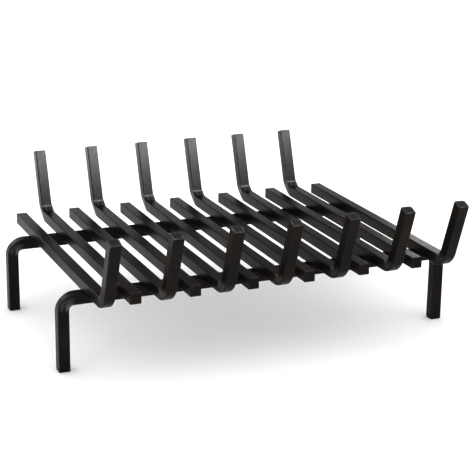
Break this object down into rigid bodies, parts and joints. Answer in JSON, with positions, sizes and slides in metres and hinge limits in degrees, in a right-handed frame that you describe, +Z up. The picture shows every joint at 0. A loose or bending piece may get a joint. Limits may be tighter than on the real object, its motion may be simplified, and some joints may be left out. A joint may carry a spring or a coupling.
{
  "type": "log grate",
  "caption": "Welded fireplace log grate: square-bar rails bent down into legs carry a row of cross bars whose ends turn up in leaning prongs, by turns at front and back.",
  "frame": {"origin": "on the hearth, under the middle of the grate", "axes": "+X along the leg rails, left to right seen from the front; +Y from front to back; +Z up"},
  "size_m": [0.59, 0.5078, 0.2131],
  "materials": {
    "black_bar": "semi-gloss black heat-resistant paint on solid square bar",
    "weld_bead": "semi-gloss black heat-resistant paint on rippled weld metal"
  },
  "bodies": {
    "root": {"front_leg_rail": "black_bar", "rear_leg_rail": "black_bar", "front_prong_bar_1": "black_bar", "front_prong_bar_2": "black_bar", "front_prong_bar_3": "black_bar", "front_prong_bar_4": "black_bar", "front_prong_bar_5": "black_bar", "front_prong_bar_6": "black_bar", "front_prong_bar_7": "black_bar", "rear_prong_bar_1": "black_bar", "rear_prong_bar_2": "black_bar", "rear_prong_bar_3": "black_bar", "rear_prong_bar_4": "black_bar", "rear_prong_bar_5": "black_bar", "rear_prong_bar_6": "black_bar", "front_prong_bar_1_welds": "weld_bead", "front_prong_bar_2_welds": "weld_bead", "front_prong_bar_3_welds": "weld_bead", "front_prong_bar_4_welds": "weld_bead", "front_prong_bar_5_welds": "weld_bead", "front_prong_bar_6_welds": "weld_bead", "front_prong_bar_7_welds": "weld_bead", "rear_prong_bar_1_welds": "weld_bead", "rear_prong_bar_2_welds": "weld_bead", "rear_prong_bar_3_welds": "weld_bead", "rear_prong_bar_4_welds": "weld_bead", "rear_prong_bar_5_welds": "weld_bead", "rear_prong_bar_6_welds": "weld_bead"}
  },
  "joints": []
}
